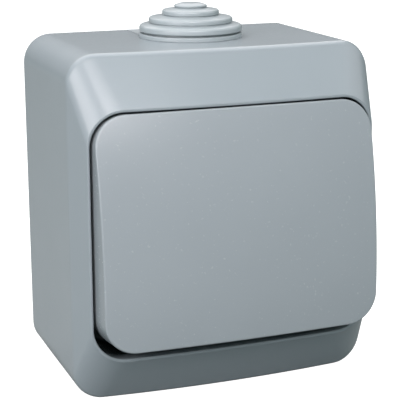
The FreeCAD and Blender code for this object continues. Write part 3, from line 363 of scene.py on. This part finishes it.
# Depths between which the recess walls and floor darken to a painted shade, and how far past the mouth's
# corner arc, all in millimetres.
RECESS_SHADE_START = 47.8
RECESS_SHADE_FULL = 43.5
RECESS_SHADE_MARGIN = 0.05
# Painted shade: a near-black colour laid on the recess walls and floor where the gap's deep shade falls.
PAINTED_RECESS_SHADE = (0.02, 0.03, 0.033)


def new_material(name):
    material = bpy.data.materials.new(name)
    material.use_nodes = True
    return material, material.node_tree.nodes, material.node_tree.links


def add_math(nodes, links, operation, first, second=None, clamp=False):
    """A sum on one output, on an output and a number, or on two outputs."""
    step = nodes.new("ShaderNodeMath")
    step.operation = operation
    step.use_clamp = clamp
    links.new(first, step.inputs[0])
    if isinstance(second, float):
        step.inputs[1].default_value = second
    elif second is not None:
        links.new(second, step.inputs[1])
    return step.outputs[0]


def add_noise(nodes, links, place, scale, detail):
    noise = nodes.new("ShaderNodeTexNoise")
    noise.inputs["Scale"].default_value = scale
    noise.inputs["Detail"].default_value = detail
    links.new(place, noise.inputs["Vector"])
    return noise.outputs["Fac"]


def add_colour_mix(nodes, links, factor, low, high):
    """A colour that runs from low to high, each a plain colour or an output."""
    mix = nodes.new("ShaderNodeMix")
    mix.data_type = "RGBA"
    links.new(factor, mix.inputs["Factor"])
    for socket, colour in (("A", low), ("B", high)):
        if isinstance(colour, bpy.types.NodeSocket):
            links.new(colour, mix.inputs[socket])
        else:
            mix.inputs[socket].default_value = (*colour, 1)
    return mix.outputs["Result"]


def vary_surface(nodes, links, shader, texture, roughness, spread, height, relief):
    """Lets a texture vary the gloss a little and raise the surface a little."""
    gloss = nodes.new("ShaderNodeMapRange")
    gloss.inputs["To Min"].default_value = roughness * (1 - spread)
    gloss.inputs["To Max"].default_value = roughness * (1 + spread)
    links.new(texture, gloss.inputs["Value"])
    links.new(gloss.outputs["Result"], shader.inputs["Roughness"])
    bump = nodes.new("ShaderNodeBump")
    bump.inputs["Strength"].default_value = height
    bump.inputs["Distance"].default_value = relief
    links.new(texture, bump.inputs["Height"])
    links.new(bump.outputs["Normal"], shader.inputs["Normal"])


def recess_shade_mask(nodes, links, place):
    """0 on the outside of the hood, and 1 on the walls and floor of the recess behind its rim, where the
    painted shade goes.
    """
    split = nodes.new("ShaderNodeSeparateXYZ")
    links.new(place, split.inputs["Vector"])
    inside = nodes.new("ShaderNodeMapRange")
    inside.inputs["From Min"].default_value = -RECESS_SHADE_START * MM
    inside.inputs["From Max"].default_value = -RECESS_SHADE_FULL * MM
    links.new(split.outputs["Y"], inside.inputs["Value"])
    corner = MOUTH["corner"]
    squares = []
    for axis, half in (("X", MOUTH["wide"]), ("Z", MOUTH["tall"])):
        size = add_math(nodes, links, "ABSOLUTE", split.outputs[axis])
        past = add_math(nodes, links, "SUBTRACT", size, (half - corner) * MM, clamp=True)
        squares.append(add_math(nodes, links, "POWER", past, 2.0))
    reach = add_math(nodes, links, "ADD", *squares)
    within = add_math(nodes, links, "LESS_THAN", reach, ((corner + RECESS_SHADE_MARGIN) * MM) ** 2)
    return add_math(nodes, links, "MULTIPLY", inside.outputs["Result"], within)


def moulded(name, colour, roughness, grain, grain_height=0.02, specular=0.5, recess=None):
    """Moulded plastic or rubber: faint cloudy tone, fine grain in the gloss and in the surface, and painted
    shade on the recess walls and floor when a recess colour is given.
    """
    material, nodes, links = new_material(name)
    shader = nodes["Principled BSDF"]
    place = nodes.new("ShaderNodeTexCoord").outputs["Object"]
    cloud = add_noise(nodes, links, place, CLOUD_SCALE, CLOUD_DETAIL)
    dull = [channel * (1 - CLOUD_TONE) for channel in colour]
    bright = [channel * (1 + CLOUD_TONE) for channel in colour]
    tint = add_colour_mix(nodes, links, cloud, dull, bright)
    # Painted shade: the recess walls and floor are darkened towards the given shade colour.
    if recess:
        tint = add_colour_mix(nodes, links, recess_shade_mask(nodes, links, place), tint, recess)
    links.new(tint, shader.inputs["Base Color"])
    fine = add_noise(nodes, links, place, grain, GRAIN_DETAIL)
    vary_surface(nodes, links, shader, fine, roughness, GRAIN_GLOSS_SPREAD, grain_height, GRAIN_RELIEF)
    shader.inputs["Specular IOR Level"].default_value = specular
    return material


def metal(name, colour, roughness):
    """Drawn, stamped or turned metal with fine streaks in its gloss."""
    material, nodes, links = new_material(name)
    shader = nodes["Principled BSDF"]
    shader.inputs["Metallic"].default_value = 1.0
    place = nodes.new("ShaderNodeTexCoord").outputs["Object"]
    stretch = nodes.new("ShaderNodeMapping")
    stretch.inputs["Scale"].default_value = STREAK_STRETCH
    links.new(place, stretch.inputs["Vector"])
    streaks = add_noise(nodes, links, stretch.outputs["Vector"], STREAK_SCALE, STREAK_DETAIL)
    dull = [channel * STREAK_DARKENING for channel in colour]
    links.new(add_colour_mix(nodes, links, streaks, dull, colour), shader.inputs["Base Color"])
    vary_surface(nodes, links, shader, streaks, roughness, STREAK_GLOSS_SPREAD, STREAK_HEIGHT, STREAK_RELIEF)
    return material


SLOT_MATERIALS = {
    # The hood's material carries painted shade on its recess walls and floor.
    "shell_plastic": moulded("hood_plastic", (0.262, 0.294, 0.318), 0.24, 1400.0, recess=PAINTED_RECESS_SHADE),
    "rocker_plastic": moulded("key_plastic", (0.27, 0.296, 0.318), 0.26, 1400.0),
    "base_plastic": moulded("base_plastic", (0.27, 0.3, 0.322), 0.4, 1800.0, grain_height=0.15),
    "mechanism_plastic": moulded("mechanism_plastic", (0.74, 0.73, 0.68), 0.5, 1500.0, grain_height=0.1),
    "plunger_plastic": moulded("plunger_plastic", (0.82, 0.82, 0.78), 0.35, 1500.0, grain_height=0.05),
    "seal_rubber": moulded("seal_rubber", (0.02, 0.02, 0.022), 0.8, 2500.0, grain_height=0.4, specular=0.3),
    "grommet_rubber": moulded("membrane_rubber", (0.31, 0.345, 0.365), 0.3, 1600.0, grain_height=0.04),
    "screw_steel": metal("screw_steel", (0.6, 0.6, 0.61), 0.3),
    "spring_steel": metal("spring_steel", (0.5, 0.5, 0.52), 0.28),
    "terminal_brass": metal("terminal_brass", (0.78, 0.58, 0.26), 0.3),
    "contact_silver": metal("contact_silver", (0.85, 0.84, 0.82), 0.25),
}


def paint(piece, slot):
    piece.data.materials.clear()
    piece.data.materials.append(SLOT_MATERIALS[slot])


def dress_nodes():
    """Gives each carried-over CAD node its own procedural material."""
    for part in frame["record"]["subparts"]:
        paint(NODES[part["node"]], part["material_slot"])


def place_pieces():
    """Builds the three formed pieces in place of their CAD nodes, each on the body of its node."""
    pieces = (
        (build_hood(), "cover", "housing", "shell_plastic"),
        (build_rocker(), "rocker", "rocker", "rocker_plastic"),
        (build_grommet(), "entry_grommet", "housing", "grommet_rubber"),
    )
    for piece, node, body, slot in pieces:
        paint(piece, slot)
        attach(piece, body)
        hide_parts(node)


# Studio: pale floor, plain soft lights and a white ground behind.

FLOOR_HEIGHT = -40.5 * MM
FLOOR_HALF_SIZE = 6.0
PAPER_COLOUR = (0.32, 0.32, 0.32)
UNSEEN_PAPER_COLOUR = (0.07, 0.105, 0.11)
FLOOR_GLOW = 0.97
SKY_COLOUR = (0.36, 0.64, 0.57)
SKY_LEVEL = 0.5
GROUND_COLOUR = (1, 1, 1)
GROUND_LEVEL = 1.0
GROUND_LEVEL_IN_GLOSS = 0.2

# Each lamp: azimuth and elevation in degrees, distance and size in metres, and power in watts.
LAMP_COLOUR = (1.0, 0.94, 0.96)
LAMPS = {
    "back_light": (175, 60, 1.3, 1.8, 20.5),
    "right_light": (75, 30, 1.1, 0.7, 1.8),
    "front_light": (-8, 36, 0.7, 0.4, 3.8),
    "left_light": (-60, 20, 0.6, 0.4, 2.3),
    "high_left_light": (-62, 50, 0.6, 0.4, 0.75),
}


def show_to(nodes, links, ray, under, over):
    """Shows the shader over to one kind of ray, and the shader under to the others."""
    path = nodes.new("ShaderNodeLightPath")
    choose = nodes.new("ShaderNodeMixShader")
    links.new(path.outputs[ray], choose.inputs["Fac"])
    links.new(under, choose.inputs[1])
    links.new(over, choose.inputs[2])
    return choose.outputs["Shader"]


def add_diffuse(nodes, colour):
    diffuse = nodes.new("ShaderNodeBsdfDiffuse")
    diffuse.inputs["Color"].default_value = (*colour, 1)
    return diffuse.outputs["BSDF"]


def build_floor():
    """A wide pale floor. The camera sees it white with the object's soft shadow on it."""
    mesh = bmesh.new()
    bmesh.ops.create_grid(mesh, x_segments=1, y_segments=1, size=FLOOR_HALF_SIZE)
    data = bpy.data.meshes.new("studio_floor")
    mesh.to_mesh(data)
    mesh.free()
    floor = bpy.data.objects.new("studio_floor", data)
    floor.location = (0, 0, FLOOR_HEIGHT)
    bpy.context.scene.collection.objects.link(floor)
    material, nodes, links = new_material("floor_paper")
    nodes.remove(nodes["Principled BSDF"])
    paper = add_diffuse(nodes, PAPER_COLOUR)
    glow = nodes.new("ShaderNodeEmission")
    glow.inputs["Strength"].default_value = FLOOR_GLOW
    lit_paper = nodes.new("ShaderNodeAddShader")
    links.new(glow.outputs["Emission"], lit_paper.inputs[0])
    links.new(paper, lit_paper.inputs[1])
    surface = show_to(nodes, links, "Is Glossy Ray", add_diffuse(nodes, UNSEEN_PAPER_COLOUR), paper)
    surface = show_to(nodes, links, "Is Camera Ray", surface, lit_paper.outputs["Shader"])
    links.new(surface, nodes["Material Output"].inputs["Surface"])
    floor.data.materials.append(material)


def build_world():
    """White for the camera, dimmer white for the object's gloss, and an even tinted sky as its light."""
    world = bpy.data.worlds.new("studio_world")
    bpy.context.scene.world = world
    world.use_nodes = True
    nodes, links = world.node_tree.nodes, world.node_tree.links
    sky = nodes["Background"]
    sky.inputs["Color"].default_value = (*SKY_COLOUR, 1)
    sky.inputs["Strength"].default_value = SKY_LEVEL
    surface = sky.outputs["Background"]
    for ray, level in (("Is Glossy Ray", GROUND_LEVEL_IN_GLOSS), ("Is Camera Ray", GROUND_LEVEL)):
        ground = nodes.new("ShaderNodeBackground")
        ground.inputs["Color"].default_value = (*GROUND_COLOUR, 1)
        ground.inputs["Strength"].default_value = level
        surface = show_to(nodes, links, ray, surface, ground.outputs["Background"])
    links.new(surface, nodes["World Output"].inputs["Surface"])


def build_lamps():
    """Square area lamps that face the object. An azimuth turns from its front towards its right."""
    for name, (azimuth, elevation, distance, size, power) in LAMPS.items():
        turn, rise = math.radians(azimuth), math.radians(elevation)
        level = distance * math.cos(rise)
        place = Vector((level * math.sin(turn), -level * math.cos(turn), distance * math.sin(rise)))
        light = bpy.data.lights.new(name, "AREA")
        light.size = size
        light.energy = power
        light.color = LAMP_COLOUR
        lamp = bpy.data.objects.new(name, light)
        lamp.location = place
        lamp.rotation_mode = "QUATERNION"
        lamp.rotation_quaternion = (-place).to_track_quat("-Z", "Y")
        bpy.context.scene.collection.objects.link(lamp)


# Camera: place in metres, turned right by yaw and down by pitch, with a slight roll.
# Lens and sensor are in millimetres.

CAMERA_PLACE = (-0.1104869, -0.3139486, 0.080045)
CAMERA_YAW = math.radians(20.901)
CAMERA_PITCH = math.radians(14.312)
CAMERA_ROLL = math.radians(-0.155)
CAMERA_LENS = 117.29
CAMERA_SENSOR = 36.0
CAMERA_CLIP_START = 0.01


def build_camera():
    ahead = Vector((
        math.sin(CAMERA_YAW) * math.cos(CAMERA_PITCH),
        math.cos(CAMERA_YAW) * math.cos(CAMERA_PITCH),
        -math.sin(CAMERA_PITCH),
    ))
    level = Vector((math.cos(CAMERA_YAW), -math.sin(CAMERA_YAW), 0))
    right = level * math.cos(CAMERA_ROLL) + level.cross(ahead) * math.sin(CAMERA_ROLL)
    up = right.cross(ahead)
    data = bpy.data.cameras.new("camera")
    data.lens = CAMERA_LENS
    data.sensor_width = CAMERA_SENSOR
    data.clip_start = CAMERA_CLIP_START
    camera = bpy.data.objects.new("camera", data)
    camera.matrix_world = Matrix.Translation(CAMERA_PLACE) @ Matrix((right, up, -ahead)).transposed().to_4x4()
    bpy.context.scene.collection.objects.link(camera)
    bpy.context.scene.camera = camera


dress_nodes()
place_pieces()
build_floor()
build_world()
build_lamps()
build_camera()
bpy.context.scene.view_settings.view_transform = "Standard"
